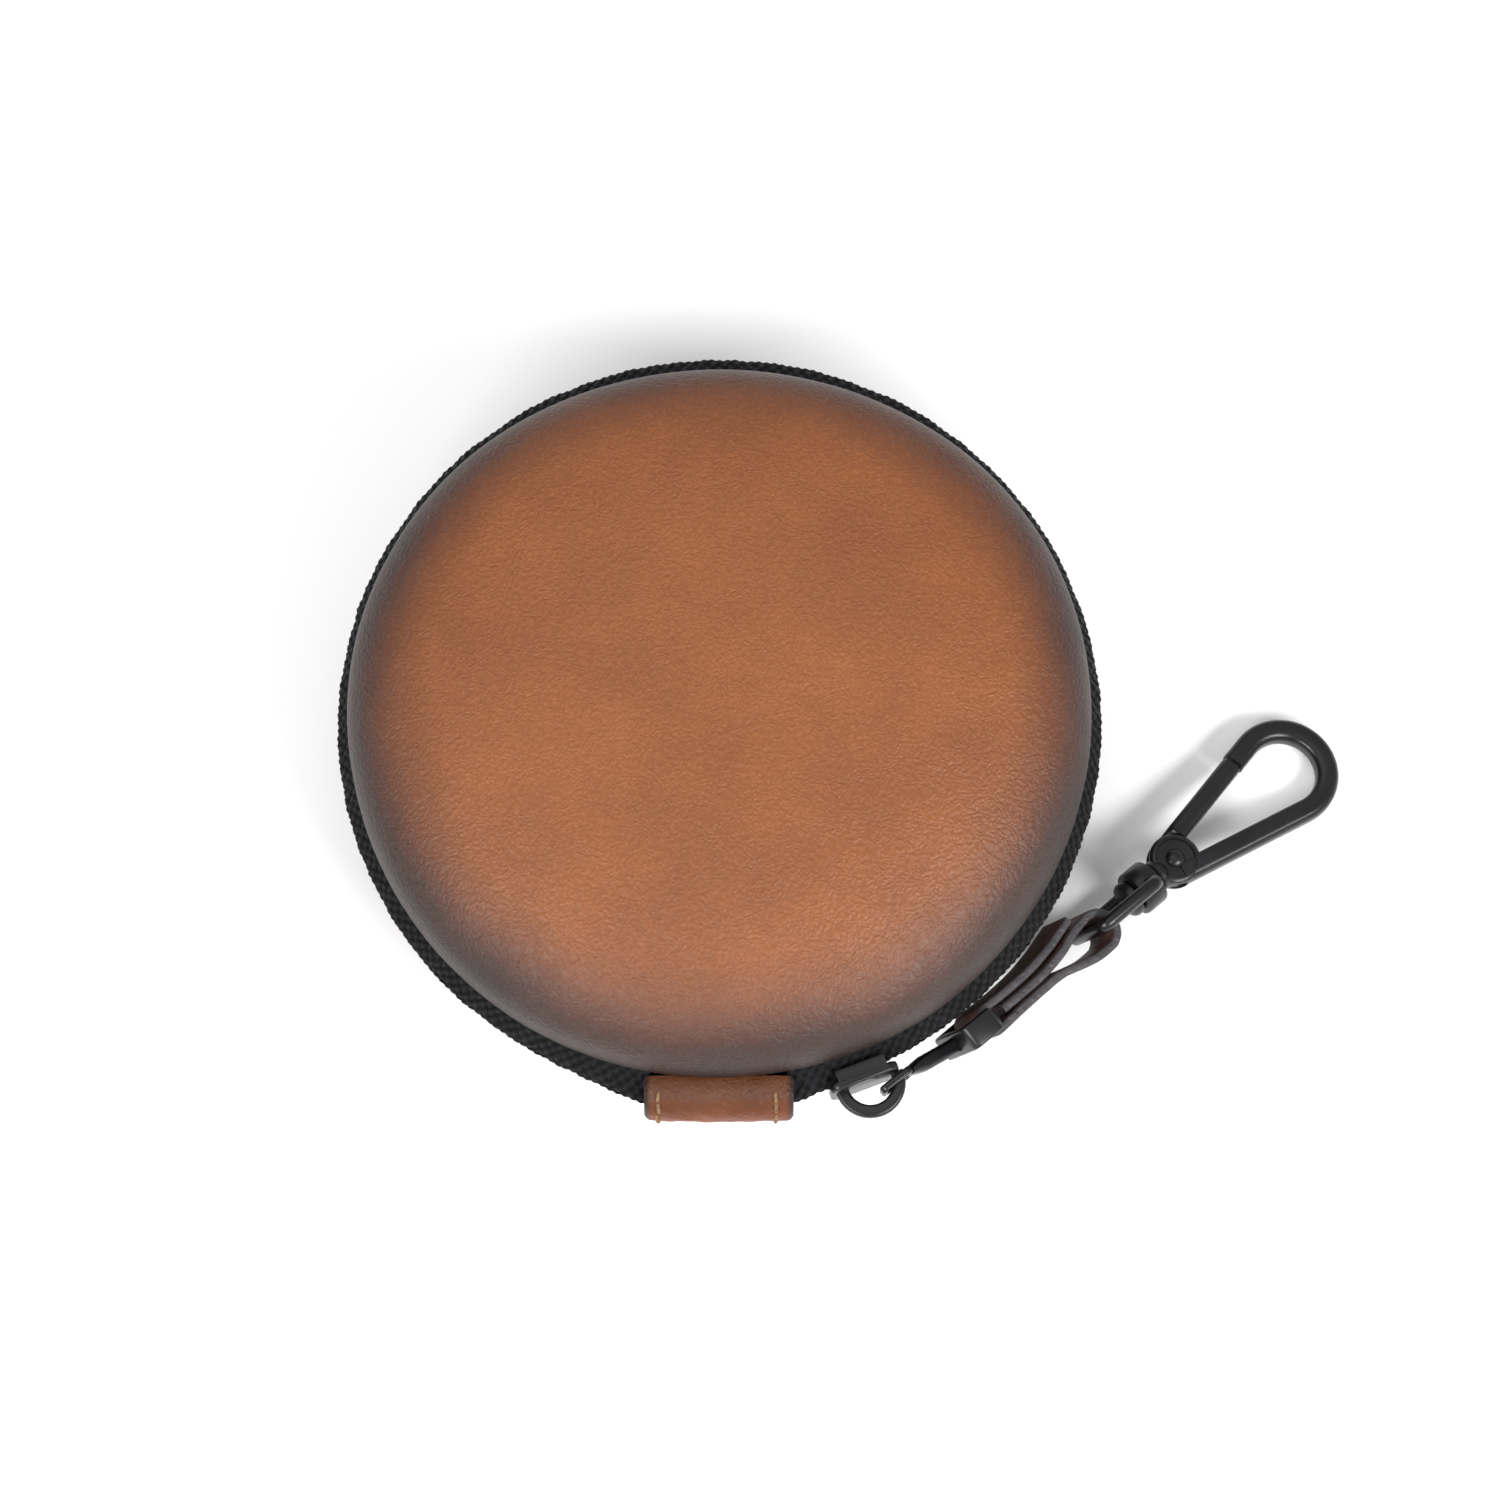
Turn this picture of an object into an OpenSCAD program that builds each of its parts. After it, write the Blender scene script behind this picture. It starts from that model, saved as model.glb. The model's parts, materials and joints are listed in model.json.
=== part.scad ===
// Round moulded leather case with a zip all round it, a leather hinge patch at the
// front, and a slider that carries a pull, a folded strap, a swivel eye and a snap hook.
// +X right, +Y to the back, +Z up; the origin is the middle of the flat underside.

/* [Case] */
// Outer radius of the leather rims
rim_r = 48.4; // [47.8:0.1:49]
// Height of the closed case
case_h = 38; // [36:1:40]
// Distance of each leather rim from the zip's centre plane
rim_gap = 4.3; // [4.2:0.05:4.5]
// Squareness of the lid's shoulder
lid_power = 3.2; // [2.8:0.1:4]
// Squareness of the base's shoulder
base_power = 4; // [3.4:0.1:4.4]
// Radius of the flat that the base stands on, as a share of the rim
base_flat_share = 0.62; // [0.5:0.02:0.7]

/* [Layers] */
// Thickness of the leather covers
leather_t = 1.2; // [1:0.1:1.4]
// Thickness of the moulded foam stiffeners
foam_t = 2.2; // [1.8:0.1:2.4]
// Thickness of the fabric linings
lining_t = 0.6; // [0.5:0.05:0.7]
// Thickness of the zip tape
tape_t = 0.6; // [0.5:0.05:0.65]
// How deep the tape is sewn in behind the leather
tape_sewn = 5; // [4:0.5:6]
// Thickness of the binding inside each rim
binding_t = 0.5; // [0.4:0.05:0.6]

/* [Zip] */
// Outer radius of the zip band
band_r = 49.95; // [49.7:0.05:50]
// Half the clear slot between the two tapes
zip_slot = 0.5; // [0.45:0.05:0.6]
// Half the width of the arc where the upper tape stays with the base
hinge_zone = 25.5; // [25:0.1:26]
// Direction of the slider from the case's centre, in degrees
slider_angle = -69; // [-70:0.5:-68]
// Length of the slider's outer plate
slider_l = 9.3; // [9:0.1:9.6]
// Width of the slider's outer plate
slider_w = 6.6; // [6.4:0.1:6.8]

/* [Hinge patch] */
// Width of the hinge patch
patch_w = 19.2; // [18.6:0.1:19.8]
// Outer radius of the hinge patch's bulge
patch_r = 4.02; // [3.9:0.02:4.1]
// Distance of the bulge's axis from the case's centre
patch_y = 49; // [48.9:0.05:49.2]

/* [Pull and strap] */
// Direction of the strap and hook seen from above, in degrees
chain_yaw = 41.9; // [41:0.1:43]
// Slope of the strap and hook down towards the table, in degrees
chain_pitch = 10.4; // [10:0.1:10.4]
// Lean of the strap and the eye about their own line, in degrees
chain_roll = 14; // [10:1:15]
// Width of the strap
strap_w = 9; // [8:0.5:9]
// Thickness of the strap leather
strap_t = 1.2; // [1:0.1:1.3]
// Distance from the pull's bar to the eye's bar
strap_l = 19.9; // [19.8:0.1:20]

/* [Snap hook] */
// Thickness of the hook
hook_t = 3; // [2.8:0.1:3]
// Outer radius of the crook
crook_r = 7.5; // [7.2:0.1:7.6]
// Outer radius of the hook's base disc
disc_r = 3.5; // [3.4:0.1:3.6]
// Distance from the base disc to the crook's centre
hook_l = 20.3; // [20:0.1:20.6]
// Radius of the swivel pin
swivel_r = 1.3; // [1.2:0.05:1.4]

/* [Hidden] */
$fn = 64;
GAP = 0.03;      // glued layers stand this far apart
SEWN_GAP = 0.1;  // sewn strips stand this far from the layers round them
RUN = 0.06;      // radial clearance of a running fit
CLEAR = 0.3;     // clearance between pieces that pass each other
mid_z = case_h / 2;
dome_h = mid_z - rim_gap;
base_h = dome_h / pow(1 - pow(base_flat_share, base_power), 1 / base_power);
foam_out = leather_t + GAP;
foam_in = foam_out + foam_t;
lining_out = foam_in + GAP;
lining_in = lining_out + lining_t;
skirt_top = rim_r - leather_t - GAP;
lip_z = rim_gap - 0.9;           // where the sloping tape turns upright
lip_end = rim_gap - zip_slot;    // the tape's free edge, below the rim plane
patch_clear = patch_w / 2 - 0.6;

plate_in = band_r + 0.85;
plate_t = 1.2;
inner_plate = [45.9, 46.9];
crown_r = 4.6;
crown_hole = 2.9;
crown_t = 1.4;
crown_shift = 0.9;
pivot_out = 1.6;                 // the pull's link wire, measured from the crown's centre
pivot_along = 1.3;
link_r = 0.55;
link_end = 3.75;
link_gap = crown_t / 2 + 0.35;
link_leg = 0.7;

slider_face = plate_in + plate_t;
pivot = [
    (slider_face + pivot_out) * cos(slider_angle) - (crown_shift + pivot_along) * sin(slider_angle),
    (slider_face + pivot_out) * sin(slider_angle) + (crown_shift + pivot_along) * cos(slider_angle),
    mid_z,
];
bar = [34.1, -39.1, 13];         // middle of the pull's far bar
pull_yaw = atan2(bar.y - pivot.y, bar.x - pivot.x);
bar_r = 0.8;
frame_in = strap_w / 2 + 0.35;
frame_t = 1.15;
frame_w = 3.4;
frame_back = 4.9;

eye_bar_r = 0.9;
eye_side_r = 1;
eye_side_z = strap_w / 2 + 0.4 + eye_side_r;
collar_r = 3.15;
collar = [strap_l + 8.1, strap_l + 11.5];
disc_x = strap_l + 15.6;
neck_r = 2.2;
wire = 3;
tangent = 90 + asin((crook_r - disc_r) / hook_l);
hook_lean = -1.1;
cheek_t = 0.75;
tongue_t = 1.3;
knuckle_r = 2.7;
gate_r = 16.4;
rivet_r = 0.8;
pin_end = -3.25;                 // end of the swivel pin, measured from the disc's centre

// ---- Curves of the moulded halves; heights are measured from the rim plane ----

function reversed(a) = [for (i = [len(a) - 1 : -1 : 0]) a[i]];

// Superellipse from the middle out to the rim, cut flat at height "flat", moved in by t.
function dome(t, h, flat, power) =
    let (first = acos(pow((flat - t) / (h - t), power / 2)), steps = 14)
    concat(
        [[0, flat - t]],
        [for (i = [(first > 1 ? 0 : 1) : steps])
            let (a = first + (90 - first) * i / steps)
            [(rim_r - t) * pow(sin(a), 2 / power), (h - t) * pow(max(0, cos(a)), 2 / power)]]
    );

function wall_r(t, z, h, power) = (rim_r - t) * pow(1 - pow(max(0, z) / (h - t), power), 1 / power);

// Strip of wall between two depths and two heights.
function band(t_out, t_in, z0, z1, h, power) =
    let (heights = [for (i = [0 : 4]) z0 + (z1 - z0) * i / 4])
    concat(
        [for (z = heights) [wall_r(t_out, z, h, power), z]],
        [for (z = reversed(heights)) [wall_r(t_in, z, h, power), z]]
    );

module layer(t_out, t_in, h, power) {
    rotate_extrude() polygon(concat(dome(t_out, h, dome_h, power), reversed(dome(t_in, h, dome_h, power))));
}

// The foam is pared away where the tape is sewn in between it and the leather.
module stiffener(h, power) {
    difference() {
        layer(foam_out, foam_in, h, power);
        rotate_extrude() polygon(band(0, foam_out + tape_t + SEWN_GAP, -1, tape_sewn + 0.1, h, power));
    }
}

module binding(h, power) {
    depth = lining_in + SEWN_GAP;
    rotate_extrude() {
        polygon(band(depth, depth + binding_t, -GAP, 2.7, h, power));
        translate([rim_r - depth - binding_t, -binding_t - GAP])
            square([depth + binding_t - leather_t - tape_t - 0.1, binding_t]);
    }
}

// The sloping tape from the leather's rim out to the zip, below the rim plane.
module skirt() {
    rotate_extrude() polygon([
        [skirt_top - tape_t, -GAP],
        [skirt_top, -GAP],
        [band_r, -lip_z],
        [band_r, -lip_end],
        [band_r - tape_t, -lip_end],
        [band_r - tape_t, -lip_z],
    ]);
}

module sewn_strip(h, power) {
    t = leather_t + SEWN_GAP;
    rotate_extrude() polygon(band(t, t + tape_t - SEWN_GAP, -GAP, tape_sewn, h, power));
}

// One side of the coil, lying against the inside of its tape.
module chain() {
    r = band_r - tape_t - 0.08;
    rotate_extrude() polygon([
        [r - 1.3, -lip_end],
        [r, -lip_end],
        [r, -lip_z],
        [r - 0.65, -lip_z + 0.85],
        [r - 1.3, -lip_z + 0.85],
    ]);
}

module in_lid() {
    translate([0, 0, mid_z + rim_gap]) children();
}

module in_base() {
    translate([0, 0, mid_z - rim_gap]) mirror([0, 0, 1]) children();
}

// Upright slab at the front of the case, between two distances from its middle plane.
module front_slab(half_w) {
    translate([-half_w, -60, -30]) cube([2 * half_w, 60, 60]);
}

// ---- Lid ----

module lid_cover() {
    color("sienna") in_lid() layer(0, leather_t, dome_h, lid_power);
}

module lid_stiffener() {
    color("dimgray") in_lid() stiffener(dome_h, lid_power);
}

module lid_lining() {
    color("darkslategray") in_lid() layer(lining_out, lining_in, dome_h, lid_power);
}

module lid_binding() {
    color("black") in_lid() binding(dome_h, lid_power);
}

module upper_tape() {
    color("black") in_lid() {
        sewn_strip(dome_h, lid_power);
        difference() {
            skirt();
            front_slab(hinge_zone + CLEAR);
        }
    }
}

module upper_chain() {
    color("dimgray") in_lid() difference() {
        chain();
        front_slab(hinge_zone + CLEAR);
    }
}

// ---- Base ----

module base_cover() {
    color("sienna") in_base() layer(0, leather_t, base_h, base_power);
}

module base_stiffener() {
    color("dimgray") in_base() stiffener(base_h, base_power);
}

module base_lining() {
    color("darkslategray") in_base() layer(lining_out, lining_in, base_h, base_power);
}

module base_binding() {
    color("black") in_base() binding(base_h, base_power);
}

module lower_tape() {
    color("black") in_base() {
        sewn_strip(base_h, base_power);
        difference() {
            skirt();
            front_slab(patch_clear);
        }
    }
}

module lower_chain() {
    color("dimgray") in_base() difference() {
        chain();
        front_slab(patch_clear);
    }
}

// ---- Hinge at the front ----

module upper_tape_ends() {
    color("black") in_lid() difference() {
        intersection() {
            skirt();
            front_slab(hinge_zone);
        }
        front_slab(patch_clear);
    }
}

module upper_chain_ends() {
    color("dimgray") in_lid() difference() {
        intersection() {
            chain();
            front_slab(hinge_zone);
        }
        front_slab(patch_clear);
    }
}

// Part of a tube lying along X at the front of the zip, open towards the case.
module bulge(r_out, r_in, w, depth) {
    translate([0, -patch_y, mid_z]) rotate([0, 90, 0]) linear_extrude(w, center = true) difference() {
        circle(r_out);
        circle(r_in);
        translate([-10, depth]) square([20, 10]);
    }
}

module hinge_patch() {
    color("saddlebrown") bulge(patch_r, patch_r - leather_t, patch_w, 0.9);
}

module hinge_stitches() {
    stitch_r = 0.28;
    color("tan") for (x = [-7.8, 7.4], a = [-60 : 30 : 60])
        translate([x, -patch_y, mid_z]) rotate([a, 0, 0])
            translate([0, -patch_r - stitch_r - GAP, 0]) cylinder(h = 1.5, r = stitch_r, center = true);
}

module hinge_tape() {
    r = patch_r - leather_t - 0.05;
    color("black") bulge(r, r - tape_t, 2 * patch_clear - 0.4, 1.4);
}

module hinge_lining() {
    w = 2 * patch_clear - 0.4;
    color("darkslategray") translate([-w / 2, -patch_y + 1.5, mid_z - 2.6]) cube([w, lining_t, 5.2]);
}

// ---- Slider: x points out from the case, y along the zip ----

module at_slider() {
    rotate([0, 0, slider_angle]) translate([0, 0, mid_z]) children();
}

// Plate with round corners, standing in the y-z plane.
module plate(x, t, y0, y1, w, corner) {
    translate([x, 0, 0]) rotate([90, 0, 90]) linear_extrude(t) {
        translate([y0 + corner, -w / 2]) square([y1 - y0 - 2 * corner, w]);
        translate([y0, -w / 2 + corner]) square([y1 - y0, w - 2 * corner]);
        for (y = [y0 + corner, y1 - corner], z = [-w / 2 + corner, w / 2 - corner])
            translate([y, z]) circle(corner);
    }
}

module slider_body() {
    tail = slider_l - 4.4;
    flange_t = 0.6;
    color([0.1, 0.1, 0.1]) at_slider() {
        plate(plate_in, plate_t, -4.4, tail, slider_w, 1.2);
        plate(inner_plate[0], inner_plate[1] - inner_plate[0], -4.4, 4.4, slider_w - 0.6, 1.1);
        translate([inner_plate[1] - 0.1, -4, -0.33]) cube([plate_in - inner_plate[1] + 0.2, 2.4, 0.66]);
        for (s = [-1, 1])
            translate([plate_in - 1.3, -3.1, s * (slider_w / 2 - flange_t / 2) - flange_t / 2])
                cube([1.4, slider_l - 2.6, flange_t]);
    }
}

module slider_crown() {
    color([0.1, 0.1, 0.1]) at_slider() translate([slider_face, crown_shift, 0])
        linear_extrude(crown_t, center = true) difference() {
            circle(crown_r);
            circle(crown_hole);
            translate([-10, -10]) square([10, 20]);
        }
}

// ---- Pull ----

module along_pull() {
    translate(pivot) rotate([0, 0, pull_yaw]) children();
}

// Strap line: x runs down the strap, z lies along the bars.
module along_strap() {
    translate(bar) rotate([chain_roll, chain_pitch, chain_yaw]) children();
}

module pull() {
    leg_z = link_gap + link_leg;
    color([0.1, 0.1, 0.1]) {
        along_pull() {
            cylinder(h = 2 * leg_z, r = link_r, center = true);
            for (s = [-1, 1])
                translate([0, -0.5, s * (link_gap + link_leg / 2) - link_leg / 2])
                    cube([link_end + 0.5, 1, link_leg]);
            translate([link_end, -0.5, -leg_z]) cube([0.9, 1, 2 * leg_z]);
        }
        hull() {
            along_pull() translate([link_end + 0.2, -0.45, 0.1 - leg_z]) cube([0.4, 0.9, 2 * leg_z - 0.2]);
            along_strap() translate([0.3 - frame_back, 0.1 - frame_w / 2, -1]) cube([0.6, frame_w - 0.2, 2.4]);
        }
        along_strap() {
            translate([-frame_back, -frame_w / 2, -frame_in - frame_t])
                cube([1.3, frame_w, 2 * (frame_in + frame_t)]);
            for (s = [-1, 1])
                translate([-frame_back, -frame_w / 2, s * (frame_in + frame_t / 2) - frame_t / 2])
                    cube([frame_back + bar_r + 0.1, frame_w, frame_t]);
            cylinder(h = 2 * frame_in + 0.2, r = bar_r, center = true);
        }
    }
}

// ---- Strap: one leather strip folded into three layers with a loop at each end ----

// Outline of a strip of width w about a line of points.
function strip(points, w) =
    let (
        last = len(points) - 1,
        sides = [for (i = [0 : last])
            let (d = points[min(i + 1, last)] - points[max(i - 1, 0)])
            [-d.y, d.x] / norm(d) * w / 2]
    )
    concat(
        [for (i = [0 : last]) points[i] + sides[i]],
        [for (i = [last : -1 : 0]) points[i] - sides[i]]
    );

module strap() {
    bend_r = 1.7;
    eye_bend_r = 2.5;
    bend = [strap_l - 0.6, -0.3];
    outer_layer = [[-0.4, bend_r], [0.4, bend_r], [4, 1.6], [8.5, 1.75], [12.7, 2.4], [16.9, 3.5]];
    middle_layer = [[2.1, 0.05], [9, 0.1], [13.3, 0.75], [16.4, 1.75],
        [bend.x - 0.4, bend.y + eye_bend_r], [bend.x + 0.4, bend.y + eye_bend_r]];
    near_layer = [[-0.4, -bend_r], [0.4, -bend_r], [4, -1.5], [8.2, -1.37], [11.8, -1.45], [15.2, -2.35], [17.4, -2.77],
        [bend.x - 0.4, bend.y - eye_bend_r], [bend.x + 0.4, bend.y - eye_bend_r]];
    color([0.25, 0.2, 0.2]) along_strap() {
        linear_extrude(strap_w, center = true) difference() {
            circle(bend_r + strap_t / 2);
            circle(bend_r - strap_t / 2);
            translate([0, -5]) square(10);
        }
        translate(bend) linear_extrude(strap_w, center = true) difference() {
            circle(eye_bend_r + strap_t / 2);
            circle(eye_bend_r - strap_t / 2);
            translate([-10, -5]) square(10);
        }
        for (line = [outer_layer, middle_layer, near_layer])
            linear_extrude(strap_w, center = true) polygon(strip(line, strap_t));
    }
}

// ---- Swivel eye ----

module swivel_eye() {
    front = (collar[0] + collar[1]) / 2;
    color([0.1, 0.1, 0.1]) along_strap() difference() {
        union() {
            translate([strap_l, 0, 0]) cylinder(h = 2 * eye_side_z, r = eye_bar_r, center = true);
            translate([front, 0, 0]) cylinder(h = 2 * eye_side_z, r = eye_side_r, center = true);
            for (s = [-1, 1]) {
                translate([strap_l, 0, s * eye_side_z])
                    rotate([0, 90, 0]) cylinder(h = front - strap_l, r = eye_side_r);
                for (x = [strap_l, front])
                    translate([x, 0, s * eye_side_z]) sphere(eye_side_r);
            }
            translate([collar[0], 0, 0])
                rotate([0, 90, 0]) cylinder(h = collar[1] - collar[0], r = collar_r);
        }
        translate([collar[0] - 1, 0, 0])
            rotate([0, 90, 0]) cylinder(h = collar[1] - collar[0] + 2, r = swivel_r + RUN);
    }
}

// ---- Snap hook: x points to the crook, y to the gate's side ----

module along_hook() {
    translate(bar) rotate([0, chain_pitch, chain_yaw]) translate([disc_x, 0, 0]) children();
}

module swivel_post() {
    head = collar[0] - CLEAR - disc_x;
    color([0.1, 0.1, 0.1]) along_hook() {
        translate([head - 1.4, 0, 0]) rotate([0, 90, 0]) cylinder(h = 1.4, r = 2.5);
        translate([head - 0.1, 0, 0]) rotate([0, 90, 0]) cylinder(h = pin_end - head + 0.1, r = swivel_r);
    }
}

// A straight side between the tangents of the disc and of the crook; side is -1 or 1.
function limb(side, out, inner) =
    let (n = [cos(tangent), side * sin(tangent)], far = [hook_l, 0])
    [n * (disc_r - inner), n * (disc_r - out), far + n * (crook_r - out), far + n * (crook_r - inner)];

// Points of the two arcs of radius r_disc and r_crook, joined by their tangents.
function outline(r_disc, r_crook) = concat(
    [for (i = [0 : 20]) let (a = tangent + (360 - 2 * tangent) * i / 20) r_disc * [cos(a), sin(a)]],
    [for (i = [0 : 36]) let (a = -tangent + 2 * tangent * i / 36) [hook_l, 0] + r_crook * [cos(a), sin(a)]]
);

module gate_strip() {
    polygon(limb(1, 0.1, wire - 0.1));
}

module hook_body() {
    color([0.1, 0.1, 0.1]) along_hook() difference() {
        union() {
            rotate([0, 0, hook_lean]) linear_extrude(hook_t, center = true) difference() {
                polygon(outline(disc_r, crook_r));
                difference() {
                    union() {
                        polygon(outline(disc_r - wire, crook_r - wire));
                        intersection() {
                            circle(gate_r + CLEAR);
                            polygon(limb(1, -1, wire + 0.2));
                        }
                    }
                    circle(disc_r);
                }
            }
            translate([collar[1] + CLEAR - disc_x, 0, 0])
                rotate([0, 90, 0]) cylinder(h = 2.2, r = neck_r);
        }
        translate([-5, 0, 0]) rotate([0, 90, 0]) cylinder(h = 5 + pin_end, r = swivel_r);
        cylinder(h = 10, r = rivet_r, center = true);
        rotate([0, 0, hook_lean]) linear_extrude(2 * cheek_t, center = true) {
            circle(knuckle_r + 0.25);
            polygon(concat([[0, 0]], [for (a = [-14 : 32 : 114]) 6 * [cos(a), sin(a)]]));
        }
    }
}

module gate() {
    color([0.12, 0.12, 0.12]) along_hook() rotate([0, 0, hook_lean]) difference() {
        union() {
            linear_extrude(hook_t - 0.4, center = true) intersection() {
                difference() {
                    gate_strip();
                    circle(disc_r + CLEAR);
                }
                circle(gate_r);
            }
            linear_extrude(tongue_t, center = true) {
                circle(knuckle_r);
                intersection() {
                    gate_strip();
                    circle(disc_r + 1);
                }
            }
        }
        cylinder(h = 10, r = rivet_r + RUN, center = true);
        translate([0, 0, 0.05]) linear_extrude(2) difference() {
            circle(1.9);
            circle(1.15);
        }
    }
}

module gate_rivet() {
    cap_r = 1.64;
    color([0.15, 0.15, 0.15]) along_hook() {
        cylinder(h = hook_t, r = rivet_r, center = true);
        for (s = [0, 1]) mirror([0, 0, s]) difference() {
            translate([0, 0, hook_t / 2 - 1]) sphere(cap_r);
            translate([0, 0, hook_t / 2 - 5]) cube(10, center = true);
        }
    }
}

module gate_spring() {
    color("gray") along_hook() translate([0, 0, 0.36]) rotate_extrude() translate([1.5, 0]) circle(0.24);
}

lid_cover();
lid_stiffener();
lid_lining();
lid_binding();
upper_tape();
upper_chain();
base_cover();
base_stiffener();
base_lining();
base_binding();
lower_tape();
lower_chain();
upper_tape_ends();
upper_chain_ends();
hinge_patch();
hinge_stitches();
hinge_tape();
hinge_lining();
slider_body();
slider_crown();
pull();
strap();
swivel_eye();
hook_body();
swivel_post();
gate_rivet();
gate_spring();
gate();
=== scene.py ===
import json
import math
import random

import bpy
import bmesh
from mathutils import Matrix, Vector, noise


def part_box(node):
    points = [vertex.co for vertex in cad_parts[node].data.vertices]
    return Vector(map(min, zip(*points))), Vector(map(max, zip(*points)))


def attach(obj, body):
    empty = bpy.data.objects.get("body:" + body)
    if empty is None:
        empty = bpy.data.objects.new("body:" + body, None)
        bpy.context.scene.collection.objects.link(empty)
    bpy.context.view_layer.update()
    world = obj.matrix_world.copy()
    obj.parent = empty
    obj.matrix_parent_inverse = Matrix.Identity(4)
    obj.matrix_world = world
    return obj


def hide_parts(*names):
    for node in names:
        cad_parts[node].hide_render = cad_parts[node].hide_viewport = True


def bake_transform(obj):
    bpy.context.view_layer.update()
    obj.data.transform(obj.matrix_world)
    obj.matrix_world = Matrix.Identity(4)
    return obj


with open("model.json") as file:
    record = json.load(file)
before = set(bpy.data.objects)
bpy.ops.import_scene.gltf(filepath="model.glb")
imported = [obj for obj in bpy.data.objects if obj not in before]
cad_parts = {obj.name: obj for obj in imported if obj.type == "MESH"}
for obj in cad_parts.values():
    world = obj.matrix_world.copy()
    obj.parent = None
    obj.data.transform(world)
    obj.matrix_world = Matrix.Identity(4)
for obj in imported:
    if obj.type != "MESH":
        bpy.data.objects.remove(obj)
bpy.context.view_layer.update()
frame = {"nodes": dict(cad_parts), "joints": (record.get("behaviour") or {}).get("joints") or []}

MM = 0.001
random.seed(7)

# ---- Sizes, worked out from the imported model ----

lid_low, lid_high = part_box("lid_cover")
base_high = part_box("base_cover")[1]
RIM_R = lid_high[0]
MID_Z = (lid_low[2] + base_high[2]) / 2
RIM_GAP = lid_low[2] - MID_Z
DOME_H = lid_high[2] - lid_low[2]
BAND_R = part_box("upper_tape")[1][0]
LID_POWER = 2.75
BASE_POWER = 4.0
BASE_FLAT = 0.62                      # radius of the flat underside as a share of the rim's
LEATHER_T = 1.2 * MM
TAPE_T = 0.6 * MM
HINGE_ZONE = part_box("upper_tape_ends")[1][0]
PATCH_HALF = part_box("hinge_patch")[1][0]
PATCH_R = (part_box("hinge_patch")[1][2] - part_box("hinge_patch")[0][2]) / 2
PATCH_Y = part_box("hinge_patch")[0][1] + PATCH_R
SETTLE = 2.1 * MM                     # how far the back of the lid leans in towards the hinge
FLARE = 3.4 * MM                      # how far the tape stands out beside the hinge patch

joints = {j["name"]: j for j in frame["joints"]}
PIVOT = Vector(joints["pull_swing"]["pos_m"])
BAR = Vector(joints["strap_swing"]["pos_m"])
EYE = Vector(joints["eye_swing"]["pos_m"])
DISC = Vector(joints["gate_open"]["pos_m"])
CHAIN = Vector(joints["hook_swivel"]["axis"]).normalized()


def axes(origin, x, z):
    """Matrix of a frame at origin with the given x, and z made square to it."""
    x = x.normalized()
    z = (z - x * z.dot(x)).normalized()
    return Matrix.Translation(origin) @ Matrix((x, z.cross(x), z)).transposed().to_4x4()


STRAP_FRAME = axes(BAR, CHAIN, -Vector(joints["strap_swing"]["axis"]))
HOOK_FRAME = axes(DISC, CHAIN, -Vector(joints["gate_open"]["axis"]))
PULL_FRAME = axes(PIVOT, Vector((BAR.x - PIVOT.x, BAR.y - PIVOT.y, 0)), Vector((0, 0, 1)))
SLIDER_ANGLE = math.radians(-69)
SLIDER_FRAME = Matrix.Translation((0, 0, MID_Z)) @ Matrix.Rotation(SLIDER_ANGLE, 4, "Z")
STRAP_L = (EYE - BAR).length
COLLAR_START = 8.1 * MM               # from the strap's eye bend to the swivel's collar

# The snap hook's sizes are in millimetres, measured from the middle of its disc
HOOK_L = 20.3                         # to the middle of the crook
CROOK_R = 7.5
DISC_R = 3.5
WIRE = 3.0
HOOK_T = 3.0
NOSE_L = 3.3
GATE_L = 16.3
LEAN = HOOK_FRAME @ Matrix.Rotation(math.radians(-1.1), 4, "Z")

# ---- Camera, light and floor ----

ELEVATION = math.radians(75)
LENS = 135
FRAME_W = 0.1963
TARGET = Vector((0.004, -0.0038, MID_Z))


def make_camera():
    camera = bpy.data.cameras.new("camera")
    camera.lens = LENS
    camera.sensor_width = 36
    camera.clip_end = 20
    o = bpy.data.objects.new("camera", camera)
    bpy.context.collection.objects.link(o)
    away = Vector((0, -math.cos(ELEVATION), math.sin(ELEVATION)))
    o.location = TARGET + away * FRAME_W * LENS / 36
    o.rotation_euler = (TARGET - o.location).to_track_quat("-Z", "Y").to_euler()
    bpy.context.scene.camera = o


def area_light(name, place, size, power, aim=(0, 0, 0.02)):
    light = bpy.data.lights.new(name, "AREA")
    light.shape = "RECTANGLE"
    light.size, light.size_y = size
    light.energy = power
    o = bpy.data.objects.new(name, light)
    bpy.context.collection.objects.link(o)
    o.location = place
    o.rotation_euler = (Vector(aim) - o.location).to_track_quat("-Z", "Y").to_euler()


def make_stage():
    world = bpy.data.worlds.new("studio")
    bpy.context.scene.world = world
    world.use_nodes = True
    world.node_tree.nodes["Background"].inputs["Color"].default_value = (1, 1, 1, 1)
    world.node_tree.nodes["Background"].inputs["Strength"].default_value = 0.56
    area_light("top", (-0.15, 0.25, 0.9), (0.9, 0.7), 1.6)
    area_light("front_left", (-0.38, -0.4, 0.5), (0.45, 0.16), 3.8)
    area_light("front_right", (0.42, -0.36, 0.5), (0.45, 0.16), 5.2)
    bpy.ops.mesh.primitive_plane_add(size=4)
    floor = bpy.context.object
    floor.name = "floor"
    surface = Surface("floor", (0.93, 0.93, 0.93), 0.8)
    floor.data.materials.append(surface.material)


# ---- Materials ----


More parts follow.
